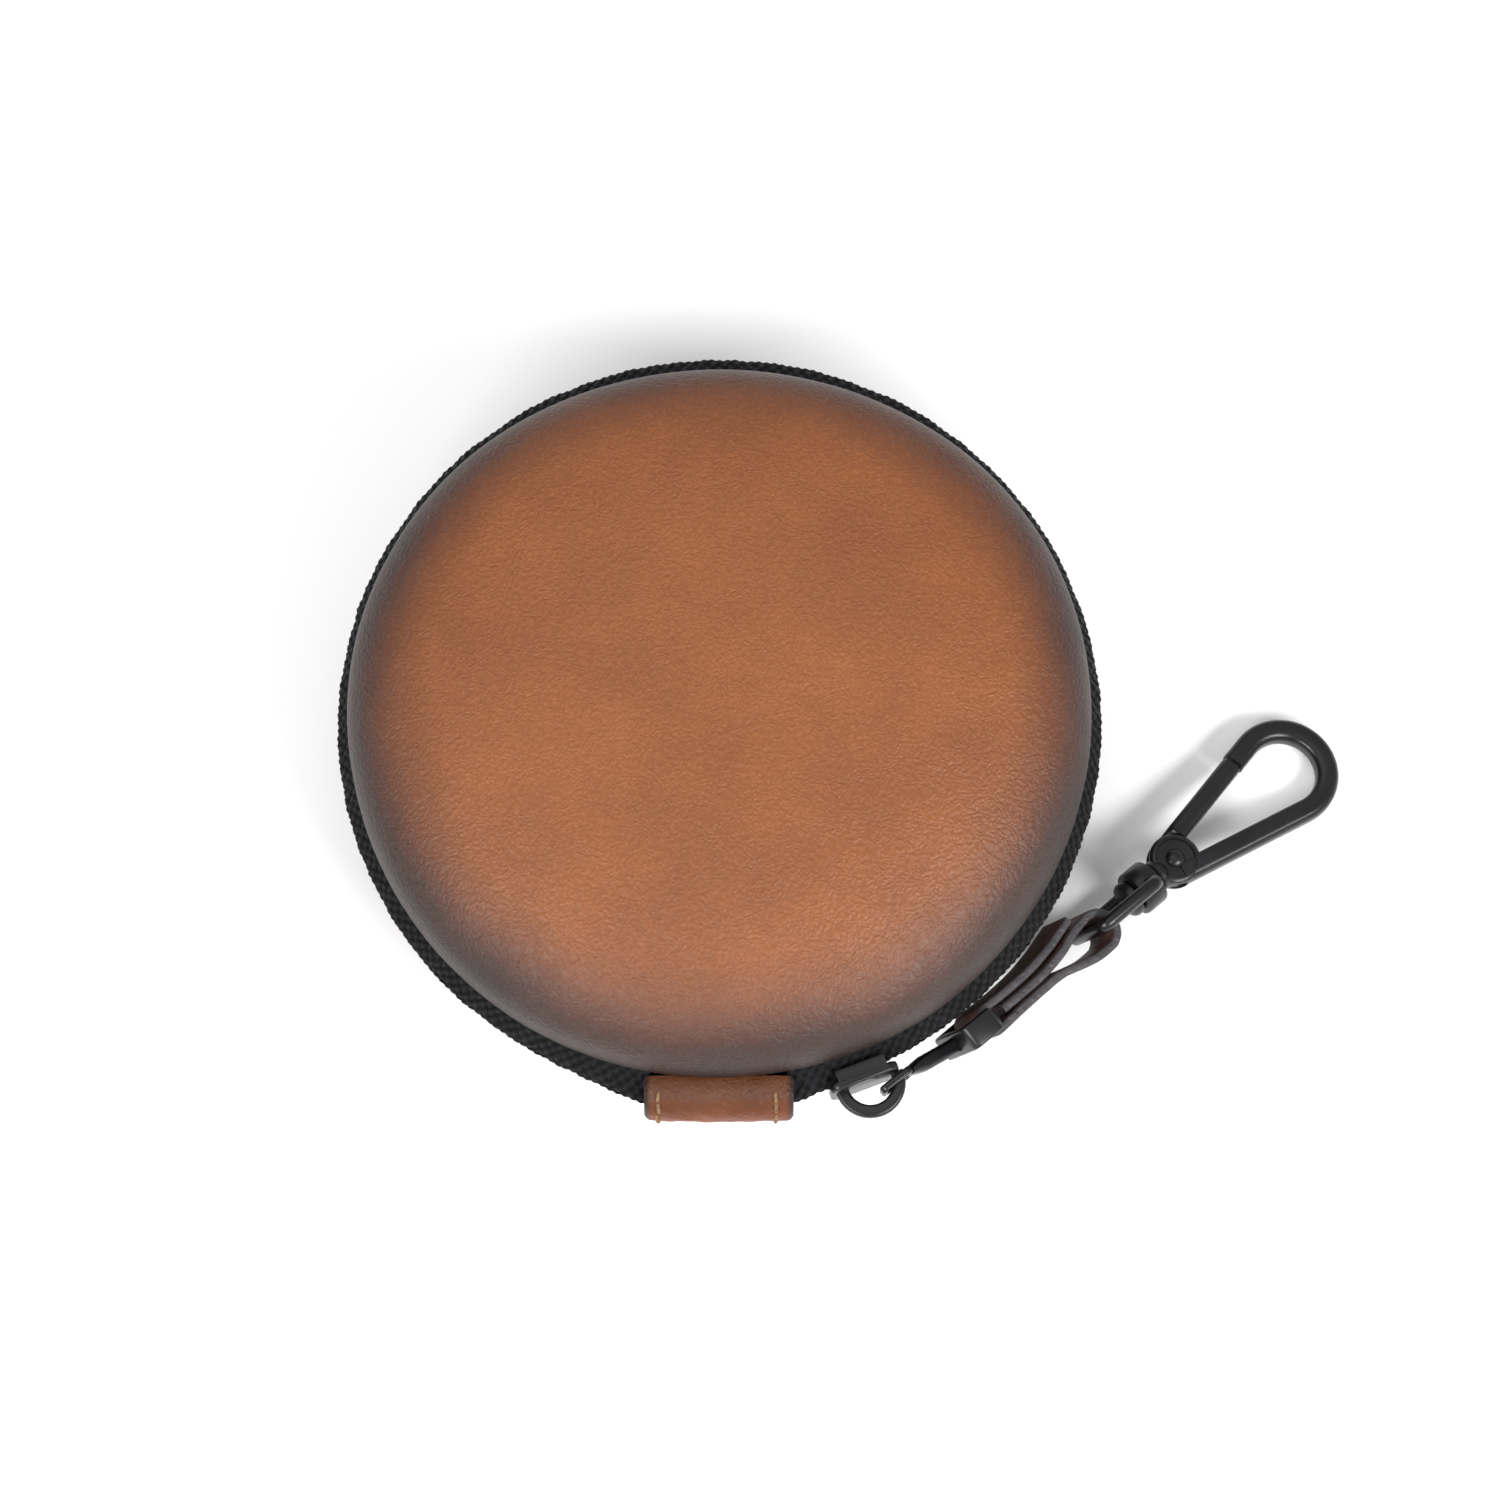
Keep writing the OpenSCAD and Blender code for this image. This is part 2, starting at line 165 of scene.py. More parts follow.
class Surface:
    """A material being built: one Principled shader and the nodes that feed it."""

    def __init__(self, name, colour, roughness, **fixed):
        self.material = bpy.data.materials.new(name)
        self.material.use_nodes = True
        self.tree = self.material.node_tree
        self.shader = self.tree.nodes["Principled BSDF"]
        self.shader.inputs["Base Color"].default_value = (*colour, 1)
        self.shader.inputs["Roughness"].default_value = roughness
        for key, value in fixed.items():
            self.shader.inputs[key.replace("_", " ")].default_value = value
        self.place = self.node("ShaderNodeTexCoord").outputs["Object"]

    def node(self, kind, **settings):
        n = self.tree.nodes.new(kind)
        for key, value in settings.items():
            if key in n.inputs:
                n.inputs[key].default_value = value
            else:
                setattr(n, key, value)
        return n

    def link(self, a, b):
        self.tree.links.new(a, b)

    def math(self, operation, a, b=0.0, c=None):
        n = self.node("ShaderNodeMath", operation=operation)
        for socket, value in zip(n.inputs, (a, b, c)):
            if isinstance(value, (int, float)):
                socket.default_value = value
            elif value is not None:
                self.link(value, socket)
        return n.outputs[0]

    def noise(self, scale, detail=3.0, distortion=0.0, place=None):
        n = self.node("ShaderNodeTexNoise", Scale=scale, Detail=detail, Distortion=distortion)
        self.link(place or self.place, n.inputs["Vector"])
        return n.outputs["Fac"]

    def ramp(self, value, stops):
        n = self.node("ShaderNodeValToRGB")
        while len(n.color_ramp.elements) < len(stops):
            n.color_ramp.elements.new(0.5)
        for element, (at, colour) in zip(n.color_ramp.elements, stops):
            element.position = at
            element.color = (*colour, 1)
        self.link(value, n.inputs["Fac"])
        return n.outputs["Color"]

    def mix(self, factor, a, b, blend="MIX"):
        n = self.node("ShaderNodeMix", data_type="RGBA", blend_type=blend)
        for socket, value in ((n.inputs[0], factor), (n.inputs[6], a), (n.inputs[7], b)):
            if isinstance(value, (int, float)):
                socket.default_value = value
            elif isinstance(value, tuple):
                socket.default_value = (*value, 1)
            else:
                self.link(value, socket)
        return n.outputs[2]

    def colour(self, socket):
        self.link(socket, self.shader.inputs["Base Color"])

    def rough(self, value, low, high):
        n = self.node("ShaderNodeMapRange")
        n.inputs["To Min"].default_value = low
        n.inputs["To Max"].default_value = high
        self.link(value, n.inputs["Value"])
        self.link(n.outputs[0], self.shader.inputs["Roughness"])

    def bump(self, height, distance, strength=1.0, below=None):
        n = self.node("ShaderNodeBump", Strength=strength, Distance=distance)
        self.link(height, n.inputs["Height"])
        if below is not None:
            self.link(below, n.inputs["Normal"])
        self.link(n.outputs[0], self.shader.inputs["Normal"])
        return n.outputs[0]


def srgb(r, g, b):
    return tuple((v / 255 / 12.92) if v <= 10 else ((v / 255 + 0.055) / 1.055) ** 2.4 for v in (r, g, b))


def leather_grain(s, size=2100.0, depth=0.00013):
    """Fine wrinkle grain: stretched cells under a softer noise."""
    wobble = s.node("ShaderNodeTexNoise", Scale=260.0, Detail=2.0)
    s.link(s.place, wobble.inputs["Vector"])
    shift = s.node("ShaderNodeVectorMath", operation="MULTIPLY_ADD")
    shift.inputs[1].default_value = (0.0022, 0.0022, 0.0022)
    s.link(wobble.outputs["Color"], shift.inputs[0])
    s.link(s.place, shift.inputs[2])
    cells = s.node("ShaderNodeTexVoronoi", feature="SMOOTH_F1", Scale=size, Smoothness=0.6)
    s.link(shift.outputs[0], cells.inputs["Vector"])
    wrinkle = s.noise(size * 0.75, 4.0, 0.9, shift.outputs[0])
    height = s.math("MULTIPLY_ADD", cells.outputs["Distance"], -0.8, wrinkle)
    s.bump(height, depth)
    return height


def burnished_leather(name):
    s = Surface(name, (0.25, 0.08, 0.02), 0.4, Specular_IOR_Level=0.45)
    parts = s.node("ShaderNodeSeparateXYZ")
    s.link(s.place, parts.inputs[0])
    x_squared, y_squared = (s.math("POWER", parts.outputs[i], 2.0) for i in (0, 1))
    r = s.math("SQRT", s.math("ADD", x_squared, y_squared))
    clouds = s.noise(42.0, 4.0, 0.3)
    r = s.math("MULTIPLY_ADD", clouds, 0.006, s.math("SUBTRACT", r, 0.003))
    share = s.math("DIVIDE", r, RIM_R)
    tone = s.ramp(share, [
        (0.0, srgb(138, 80, 38)),
        (0.76, srgb(134, 77, 37)),
        (0.85, srgb(114, 64, 33)),
        (0.915, srgb(84, 47, 29)),
        (0.96, srgb(57, 34, 25)),
        (1.0, srgb(40, 26, 21)),
    ])
    patina = s.ramp(s.noise(75.0, 5.0, 0.4), [(0.3, (0.86, 0.84, 0.82)), (0.7, (1.08, 1.09, 1.1))])
    tone = s.mix(1.0, tone, patina, "MULTIPLY")
    height = leather_grain(s)
    pores = s.ramp(height, [(0.0, (0.55, 0.5, 0.48)), (0.5, (1.0, 1.0, 1.0))])
    s.colour(s.mix(0.4, tone, s.mix(1.0, tone, pores, "MULTIPLY")))
    s.rough(clouds, 0.43, 0.55)
    return s.material


def patch_leather():
    s = Surface("hinge patch leather", (0.2, 0.1, 0.05), 0.45, Specular_IOR_Level=0.3)
    parts = s.node("ShaderNodeSeparateXYZ")
    s.link(s.place, parts.inputs[0])
    height = s.math("DIVIDE", s.math("SUBTRACT", parts.outputs[2], MID_Z - PATCH_R), 2 * PATCH_R)
    # Colour by height round the bend is painted light: painted shade towards the lower and upper ends of
    # the bend, and a painted lighter band just below its forward-facing middle.
    tone = s.ramp(height, [
        (0.0, srgb(78, 42, 24)),
        (0.45, srgb(118, 58, 14)),
        (0.7, srgb(98, 48, 14)),
        (1.0, srgb(82, 46, 24)),
    ])
    side = s.math("DIVIDE", s.math("ABSOLUTE", parts.outputs[0]), PATCH_HALF)
    edge = s.ramp(side, [(0.0, (1, 1, 1)), (0.9, (0.92, 0.9, 0.88)), (0.97, (0.2, 0.17, 0.16))])
    patina = s.ramp(s.noise(240.0, 4.0), [(0.3, (0.82, 0.8, 0.78)), (0.7, (1.1, 1.08, 1.05))])
    s.colour(s.mix(1.0, s.mix(1.0, tone, edge, "MULTIPLY"), patina, "MULTIPLY"))
    leather_grain(s, 2000.0, 0.0001)
    return s.material


def strap_leather():
    s = Surface("strap leather", (0.06, 0.04, 0.04), 0.5, Specular_IOR_Level=0.45)
    edge = s.node("ShaderNodeAttribute", attribute_name="edge").outputs["Fac"]
    grain = s.noise(900.0, 4.0, 0.5)
    face = s.ramp(grain, [(0.3, srgb(70, 46, 40)), (0.7, srgb(98, 68, 60))])
    paint = s.ramp(s.noise(400.0, 3.0), [(0.3, srgb(40, 38, 41)), (0.7, srgb(60, 57, 60))])
    s.colour(s.mix(edge, face, paint))
    leather_grain(s, 1300.0, 0.0001)
    return s.material


def woven(name, thread=0.8 * MM, depth=0.0004, light=(25, 25, 28), dark=(6, 6, 7)):
    """Twill weave laid along UV, whose units are metres."""
    fixed = {"Sheen Weight": 0.04, "Sheen Roughness": 0.4, "Specular IOR Level": 0.15}
    s = Surface(name, (0.013, 0.013, 0.016), 0.85, **fixed)
    uv = s.node("ShaderNodeTexCoord").outputs["UV"]
    parts = s.node("ShaderNodeSeparateXYZ")
    s.link(uv, parts.inputs[0])
    fuzz = s.noise(700.0, 3.0)
    u = s.math("MULTIPLY_ADD", fuzz, 0.5, s.math("DIVIDE", parts.outputs[0], thread))
    v = s.math("MULTIPLY_ADD", fuzz, 0.5, s.math("DIVIDE", parts.outputs[1], thread))
    over = s.math("SINE", s.math("MULTIPLY", s.math("ADD", u, v), math.pi))
    under = s.math("SINE", s.math("MULTIPLY", s.math("SUBTRACT", u, v), math.pi))
    height = s.math("MULTIPLY_ADD", over, 0.3, s.math("MULTIPLY_ADD", under, 0.2, fuzz))
    s.colour(s.ramp(height, [(0.15, srgb(*dark)), (0.85, srgb(*light))]))
    s.bump(height, depth)
    return s.material


def black_metal():
    s = Surface("satin black metal", (0.011, 0.011, 0.013), 0.36, Specular_IOR_Level=0.4)
    wear = s.noise(180.0, 4.0)
    s.colour(s.ramp(wear, [(0.3, srgb(12, 11, 13)), (0.75, srgb(22, 21, 24))]))
    s.rough(wear, 0.24, 0.38)
    s.bump(s.noise(2400.0, 2.0), 0.00001)
    return s.material


def plain_noise(name, low, high, scale, roughness, depth=0.00003):
    s = Surface(name, low, roughness)
    value = s.noise(scale, 4.0)
    s.colour(s.ramp(value, [(0.3, low), (0.7, high)]))
    s.bump(value, depth)
    return s.material


# ---- Mesh helpers ----


def make_object(name, verts, faces, material, uvs=None, sharp=40, matrix=None):
    mesh = bpy.data.meshes.new(name)
    mesh.from_pydata([tuple(v) for v in verts], [], faces)
    if uvs is not None:
        layer = mesh.uv_layers.new(name="UVMap")
        for loop in mesh.loops:
            layer.data[loop.index].uv = uvs[loop.vertex_index]
    bm = bmesh.new()
    bm.from_mesh(mesh)
    bmesh.ops.recalc_face_normals(bm, faces=bm.faces)
    bm.to_mesh(mesh)
    bm.free()
    mesh.shade_smooth()
    mesh.set_sharp_from_angle(angle=math.radians(sharp))
    if matrix is not None:
        mesh.transform(matrix)
    mesh.materials.append(material)
    o = bpy.data.objects.new(name, mesh)
    bpy.context.collection.objects.link(o)
    return o


def joined(name, objects):
    """One object from several, keeping their materials."""
    bpy.ops.object.select_all(action="DESELECT")
    for o in objects:
        o.select_set(True)
    bpy.context.view_layer.objects.active = objects[0]
    bpy.ops.object.join()
    o = bpy.context.object
    o.name = name
    return o


def grid_faces(rows, columns, close_rows=False, close_columns=False):
    faces = []
    for i in range(rows if close_rows else rows - 1):
        for j in range(columns if close_columns else columns - 1):
            a, b = i * columns + j, i * columns + (j + 1) % columns
            c, d = ((i + 1) % rows) * columns + (j + 1) % columns, ((i + 1) % rows) * columns + j
            faces.append((a, b, c, d))
    return faces


def lathe(name, profile, material, matrix, steps=40, axis="Z"):
    """Solid of revolution about z or x from (radius, height) points; both end rings are capped."""
    verts = []
    for r, h in profile:
        for i in range(steps):
            a = 2 * math.pi * i / steps
            p = (r * math.cos(a), r * math.sin(a), h)
            verts.append((h, p[0], p[1]) if axis == "X" else p)
    faces = grid_faces(len(profile), steps, close_columns=True)
    faces.append(tuple(range(steps)))
    faces.append(tuple((len(profile) - 1) * steps + i for i in range(steps)))
    return make_object(name, verts, faces, material, sharp=35, matrix=matrix)


def rounded_box_section(w, h, r, steps=4):
    """Closed outline of a w by h rectangle with round corners."""
    points = []
    for cx, cy, start in ((1, 1, 0), (-1, 1, 90), (-1, -1, 180), (1, -1, 270)):
        for i in range(steps + 1):
            a = math.radians(start + 90 * i / steps)
            points.append((cx * (w / 2 - r) + r * math.cos(a), cy * (h / 2 - r) + r * math.sin(a)))
    return points


def sweep(name, path, section, material, matrix, closed=False, up=Vector((0, 0, 1)), scale=None, sharp=40):
    """Section (across, up) carried along a flat path; scale gives (across, up) factors at each point."""
    path = [Vector(p) for p in path]
    n, k = len(path), len(section)
    verts, uvs, run = [], [], 0.0
    for i, p in enumerate(path):
        if closed:
            d = path[(i + 1) % n] - path[i - 1]
        else:
            d = path[min(i + 1, n - 1)] - path[max(i - 1, 0)]
        if i:
            run += (p - path[i - 1]).length
        side = up.cross(d.normalized())
        su, sv = scale[i] if scale else (1, 1)
        for x, y in section:
            verts.append(p + side * x * su + up * y * sv)
            uvs.append((run, y + x))
    faces = grid_faces(n, k, close_rows=closed, close_columns=True)
    if not closed:
        faces.append(tuple(range(k)))
        faces.append(tuple((n - 1) * k + i for i in range(k)))
    return make_object(name, verts, faces, material, uvs, sharp, matrix)


def arc(centre, r, start, end, steps, z=0.0):
    """Points of an arc in the xy plane, angles in degrees."""
    return [
        Vector((centre[0] + r * math.cos(a), centre[1] + r * math.sin(a), z))
        for a in (math.radians(start + (end - start) * i / steps) for i in range(steps + 1))
    ]


def smooth_path(points, steps=8):
    """Catmull-Rom curve through points."""
    points = [Vector(p) for p in points]
    padded = [2 * points[0] - points[1]] + points + [2 * points[-1] - points[-2]]
    out = []
    for a, b, c, d in zip(padded, padded[1:], padded[2:], padded[3:]):
        for i in range(steps):
            t = i / steps
            out.append(0.5 * (2 * b + (c - a) * t + (2 * a - 5 * b + 4 * c - d) * t * t
                              + (3 * b - 3 * c + d - a) * t ** 3))
    return out + [points[-1]]


def place_piece(o, body, slot, *nodes):
    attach(o, body)
    if nodes:
        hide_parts(*nodes)
    return o


def settle(o):
    """The lid's back leans in towards the hinge, more the higher above the zip."""
    for v in o.data.vertices:
        if v.co.y > 0 and v.co.z > MID_Z:
            share = min(1.0, (v.co.z - MID_Z) / RIM_GAP)
            v.co.y -= SETTLE * (v.co.y / RIM_R) ** 2 * share * share * (3 - 2 * share)
    return o


# ---- Leather halves ----


def dome_profile(t, h, power, flat, steps):
    """(radius, height above the rim plane) from the middle to the rim, moved in by t."""
    first = math.acos(min(1, ((flat - t) / (h - t)) ** (power / 2)))
    has_flat = first > 0.01
    flat_r = (RIM_R - t) * math.sin(first) ** (2 / power)
    points = [(flat_r * i / 8, flat - t) for i in range(1, 8)] if has_flat else []
    for i in range(0 if has_flat else 1, steps + 1):
        a = first + (math.pi / 2 - first) * i / steps
        r = (RIM_R - t) * math.sin(a) ** (2 / power)
        points.append((r, (h - t) * max(0, math.cos(a)) ** (2 / power)))
    return points


def leather_half(name, side, h, power, material, columns=288):
    """side is 1 for the lid and -1 for the base."""
    outer = dome_profile(0, h, power, DOME_H, 56)
    inner = dome_profile(LEATHER_T, h, power, DOME_H, 20)
    round_r = LEATHER_T / 2
    roll = [(RIM_R - round_r + round_r * math.cos(a), -0.0001 - round_r * 0.35 * math.sin(a))
            for a in (math.pi * i / 6 for i in range(1, 6))]
    profile = outer[:-1] + [(RIM_R, 0.0)] + roll + list(reversed(inner))
    verts = []
    for k, (r, z) in enumerate(profile):
        for i in range(columns):
            a = 2 * math.pi * i / columns
            x, y = math.cos(a), math.sin(a)
            dent = 0.0
            if k < len(outer):
                p = Vector((r * x, r * y, side * (z + 0.01)))
                dent = 0.00016 * noise.noise(p * 45) + 0.00006 * noise.noise(p * 160)
            lift = min(1.0, z / DOME_H) * dent
            wall = (1 - min(1.0, max(0.0, z / DOME_H))) * dent
            verts.append(((r + wall) * x, (r + wall) * y, MID_Z + side * (RIM_GAP + z + min(0, lift))))
    faces = grid_faces(len(profile), columns, close_columns=True)
    middle = len(verts)
    verts.append((0, 0, MID_Z + side * (RIM_GAP + DOME_H)))
    verts.append((0, 0, MID_Z + side * (RIM_GAP + DOME_H - LEATHER_T)))
    last = (len(profile) - 1) * columns
    for i in range(columns):
        faces.append((middle, (i + 1) % columns, i))
        faces.append((middle + 1, last + i, last + (i + 1) % columns))
    return make_object(name, verts, faces, material, sharp=60)


def layer_half(name, side, h, power, low, high, rim, material, sheet=True, columns=144):
    """Lining cloth or foam pressed into a half, between two depths under the leather."""
    outer, inner = (dome_profile(t, h, power, DOME_H, 30) for t in (low, high))
    profile = outer + list(reversed(inner))
    verts, uvs = [], []
    for r, z in profile:
        for i in range(columns):
            a = 2 * math.pi * i / columns
            x, y = r * math.cos(a), r * math.sin(a)
            ripple = 0.12 * MM * noise.noise(Vector((x * 110, y * 110, z * 110 + side)))
            verts.append((x, y, MID_Z + side * (RIM_GAP + rim + z * (1 - rim / DOME_H) + ripple)))
            uvs.append((x, y + z))
    faces = grid_faces(len(profile), columns, close_columns=True)
    middle, last = len(verts), (len(profile) - 1) * columns
    verts += [(0, 0, MID_Z + side * (RIM_GAP + DOME_H - t)) for t in (low, high)]
    uvs += [(0, 0), (0, 0)]
    for i in range(columns):
        faces.append((middle, (i + 1) % columns, i))
        faces.append((middle + 1, last + i, last + (i + 1) % columns))
    o = make_object(name, verts, faces, material, uvs, sharp=70)
    if not sheet:
        return o
    return o


def binding_half(name, side, material, columns=360):
    """Woven tape folded over the raw edges inside a half's rim."""
    wall = RIM_R - 4.3 * MM
    section = rounded_box_section(0.62 * MM, 2.9 * MM, 0.28 * MM, 4)
    verts, uvs = [], []
    for i in range(columns):
        a = 2 * math.pi * i / columns
        for k, (r, z) in enumerate(section):
            rib = 0.05 * MM * math.sin(columns * a * 0.5) * (1 if r < 0 else 0)
            rr = wall + r - rib
            verts.append((rr * math.cos(a), rr * math.sin(a), MID_Z + side * (RIM_GAP + 1.35 * MM + z)))
            uvs.append((wall * a, z + r))
    return make_object(name, verts, grid_faces(columns, len(section), True, True), material, uvs, sharp=70)


# ---- Zip ----


def flare(angle):
    """How far the zip stands out at this angle, which is 0 at the hinge patch."""
    return FLARE * math.exp(-abs(angle / math.radians(14)) ** 1.5)


def tape_profile(side):
    """Outer then inner points (radius, height from the zip's plane, share of the flare)."""
    top = RIM_R - LEATHER_T - 0.00003
    lip = 0.9 * MM
    outer = [
        (top, RIM_GAP + 0.3 * MM, 0.0),
        (top + 0.1 * MM, RIM_GAP - 0.15 * MM, 0.05),
        (top + 0.8 * MM, RIM_GAP - 1.0 * MM, 0.25),
        (top + 1.6 * MM, RIM_GAP - 2.0 * MM, 0.55),
        (BAND_R - 0.45 * MM, lip + 0.55 * MM, 0.8),
        (BAND_R - 0.08 * MM, lip, 0.95),
        (BAND_R, lip * 0.7, 1.0),
        (BAND_R - 0.08 * MM, lip * 0.46, 1.0),
    ]
    inner = [(r - TAPE_T, z if k else z, f) for k, (r, z, f) in enumerate(reversed(outer))]
    return [(r, side * z, f) for r, z, f in outer + inner], len(outer)


def tape(name, side, start, end, material):
    """Woven tape from start to end angle, measured from the hinge patch round the case."""
    profile, front = tape_profile(side)
    full = end - start > 6.2
    columns = max(12, int((end - start) * BAND_R / (0.27 * MM)))
    verts, uvs = [], []
    for i in range(columns + 1):
        angle = start + (end - start) * i / columns
        nearest = math.atan2(math.sin(angle), math.cos(angle))
        x, y = math.sin(angle), -math.cos(angle)
        s = angle * BAND_R
        across = 0.0
        for k, (r, z, share) in enumerate(profile):
            if k:
                across += math.hypot(r - profile[k - 1][0], z - profile[k - 1][1])
            rib = 0.0
            if 0 < k < front:
                row = math.sin(2 * math.pi * (s / (1.05 * MM) + across / (1.3 * MM)))
                slub = noise.noise(Vector((s * 480, side * 3 + across * 500, 0)))
                rib = 0.09 * MM * row * min(1, k / 3) + 0.2 * MM * slub
            rr = r + share * flare(nearest) + rib
            verts.append((rr * x, rr * y, MID_Z + z))
            uvs.append((s, across))
    faces = grid_faces(columns + 1, len(profile), close_columns=True)
    if not full:
        faces.append(tuple(range(len(profile))))
        faces.append(tuple(columns * len(profile) + k for k in range(len(profile))))
    return make_object(name, verts, faces, material, uvs, sharp=70)


def coil(name, side, start, end, material):
    """One side of the zip's coil, as a continuous winding inside the tape's edge."""
    pitch, across_r, wire_r, sides, points = 1.25 * MM, 0.52 * MM, 0.17 * MM, 5, 10
    turns = int((end - start) * (BAND_R - 1.5 * MM) / pitch)
    centre_z = side * 1.05 * MM
    path = []
    for i in range(turns * points + 1):
        t = i / (turns * points)
        angle = start + (end - start) * t
        a = 2 * math.pi * i / points
        nearest = math.atan2(math.sin(angle), math.cos(angle))
        r = BAND_R - 1.55 * MM + 0.8 * flare(nearest) + 0.4 * MM * math.cos(a)
        z = MID_Z + centre_z + across_r * math.sin(a)
        path.append(Vector((r * math.sin(angle), -r * math.cos(angle), z)))
    verts = []
    for i, p in enumerate(path):
        d = (path[min(i + 1, len(path) - 1)] - path[max(i - 1, 0)]).normalized()
        u = d.cross(Vector((0, 0, 1)) if abs(d.z) < 0.9 else Vector((1, 0, 0))).normalized()
        v = d.cross(u)
        for k in range(sides):
            b = 2 * math.pi * k / sides
            verts.append(p + (u * math.cos(b) + v * math.sin(b)) * wire_r)
    faces = grid_faces(len(path), sides, close_columns=True)
    faces.append(tuple(range(sides)))
    faces.append(tuple((len(path) - 1) * sides + k for k in range(sides)))
    return make_object(name, verts, faces, material, sharp=80)


def blend_end(o):
    """Bakes the end piece's transform into its mesh."""
    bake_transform(o)


def zip_pieces(tape_material, coil_material):
    ends = math.asin((HINGE_ZONE + 0.0001) / BAND_R)
    near = math.asin((PATCH_HALF - 0.6 * MM) / BAND_R)
    turn = 2 * math.pi
    upper = settle(tape("upper_zip_tape", 1, ends, turn - ends, tape_material))
    place_piece(upper, "lid", "tape", "upper_tape")
    place_piece(tape("lower_zip_tape", -1, near, turn - near, tape_material), "base", "tape", "lower_tape")
    place_piece(coil("upper_coil", 1, ends, turn - ends, coil_material), "lid", "coil", "upper_chain")
    place_piece(coil("lower_coil", -1, near, turn - near, coil_material), "base", "coil", "lower_chain")
    for right in (True, False):
        span = (near, ends) if right else (turn - ends, turn - near)
        side = "right" if right else "left"
        end_tape = tape(f"tape_end_{side}", 1, *span, tape_material)
        end_coil = coil(f"coil_end_{side}", 1, *span, coil_material)
        blend_end(end_tape)
        blend_end(end_coil)
        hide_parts("upper_tape_ends")
        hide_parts("upper_chain_ends")


# ---- Hinge ----


def curved_sheet(name, half_w, r_out, thickness, spread, material, columns=48, rows=40, crown=0.0):
    """Leather bent round a line along x at the front, closed, with round side edges."""
    outer, inner = [], []
    for i in range(rows + 1):
        a = math.radians(-spread + 2 * spread * i / rows)
        for j in range(columns + 1):
            x = -1 + 2 * j / columns
            edge = max(0.0, (abs(x) - 0.9) / 0.1)
            dent = noise.noise(Vector((x * 6, a * 3, 1))) * 0.12 * MM
            sink = 0.5 * thickness * (1 - math.sqrt(max(0.0, 1 - edge ** 2)))
            bow = crown * (1 - x * x)
            shift = bow + dent
            for surface, r in ((outer, r_out - sink + shift), (inner, r_out - thickness + sink + shift)):
                surface.append((x * half_w, PATCH_Y - r * math.cos(a), MID_Z + r * math.sin(a)))
    count = len(outer)
    width = columns + 1
    faces = grid_faces(rows + 1, width)
    faces += [tuple(count + v for v in reversed(f)) for f in grid_faces(rows + 1, width)]
    for i in range(rows):
        for j in (0, columns):
            a, b = i * width + j, (i + 1) * width + j
            faces.append((a, b, count + b, count + a))
    for j in range(columns):
        for i in (0, rows):
            a, b = i * width + j, i * width + j + 1
            faces.append((a, b, count + b, count + a))
    return make_object(name, outer + inner, faces, material, sharp=60)


def stitch(centre, along, length, r, material):
    """One sewn stitch: a short thread that dips into the leather at both ends."""
    out = Vector((0, centre.y - PATCH_Y, centre.z - MID_Z)).normalized()
    path = []
    for i in range(9):
        t = i / 8
        dip = out * r * 2.4 * (2 * t - 1) ** 4
        path.append(centre + along * length * (t - 0.5) - dip)
    side = along.cross(out)
    verts = []
    for p in path:
        for k in range(8):
            b = 2 * math.pi * k / 8
            verts.append(p + (out * math.cos(b) + side * math.sin(b)) * r)
    faces = grid_faces(len(path), 8, close_columns=True)
    faces += [tuple(range(8)), tuple(len(verts) - 8 + k for k in range(8))]
    return make_object("stitch", verts, faces, material)


def hinge(patch_material, thread_material, lining_material):
    patch = curved_sheet("hinge_leather", PATCH_HALF, PATCH_R, LEATHER_T, 103, patch_material,
                         crown=0.25 * MM)
    stitches = []
    for x in (-7.8 * MM, 7.4 * MM):
        for degrees in (-64, -38, -12, 14, 40, 66):
            a = math.radians(degrees + random.uniform(-3, 3))
            r = PATCH_R + 0.22 * MM
            stray = random.uniform(-1, 1) * 0.12 * MM
            centre = Vector((x + stray, PATCH_Y - r * math.cos(a), MID_Z + r * math.sin(a)))
            along = Vector((random.uniform(-0.15, 0.15), math.sin(a), math.cos(a))).normalized()
            stitches.append(stitch(centre, along, 1.7 * MM, 0.24 * MM, thread_material))
    thread = joined("hinge_thread", stitches)
    strip_r = PATCH_R - LEATHER_T - 0.1 * MM
    strip = curved_sheet("hinge_inner_strip", PATCH_HALF - 1 * MM, strip_r, TAPE_T, 100, lining_material)
    for piece, slot, nodes in (
        (patch, "patch_leather", ["hinge_patch"]),
        (thread, "thread", ["hinge_stitches"]),
        (strip, "tape", ["hinge_tape", "hinge_lining"]),
    ):
        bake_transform(piece)
        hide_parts(*nodes)


# ---- Slider and pull ----


def plate_mesh(name, x, t, y0, y1, w, corner, material, bevel=0.25 * MM):
    """Plate standing in the slider's y-z plane, with round corners and soft edges."""
    outline = [(p[0] + (y0 + y1) / 2, p[1]) for p in rounded_box_section(y1 - y0, w, corner, 6)]
    verts, k = [], len(outline)
    middle = (y0 + y1) / 2
    for depth, shrink in ((0, bevel), (bevel * 0.3, bevel * 0.3), (bevel, 0), (t - bevel, 0),
                          (t - bevel * 0.3, bevel * 0.3), (t, bevel)):
        for y, z in outline:
            fy = 1 - 2 * shrink / (y1 - y0)
            fz = 1 - 2 * shrink / w
            verts.append((x + depth, middle + (y - middle) * fy, z * fz))
    faces = grid_faces(6, k, close_columns=True)
    faces += [tuple(range(k)), tuple(5 * k + i for i in range(k))]
    return make_object(name, verts, faces, material, sharp=50, matrix=SLIDER_FRAME)


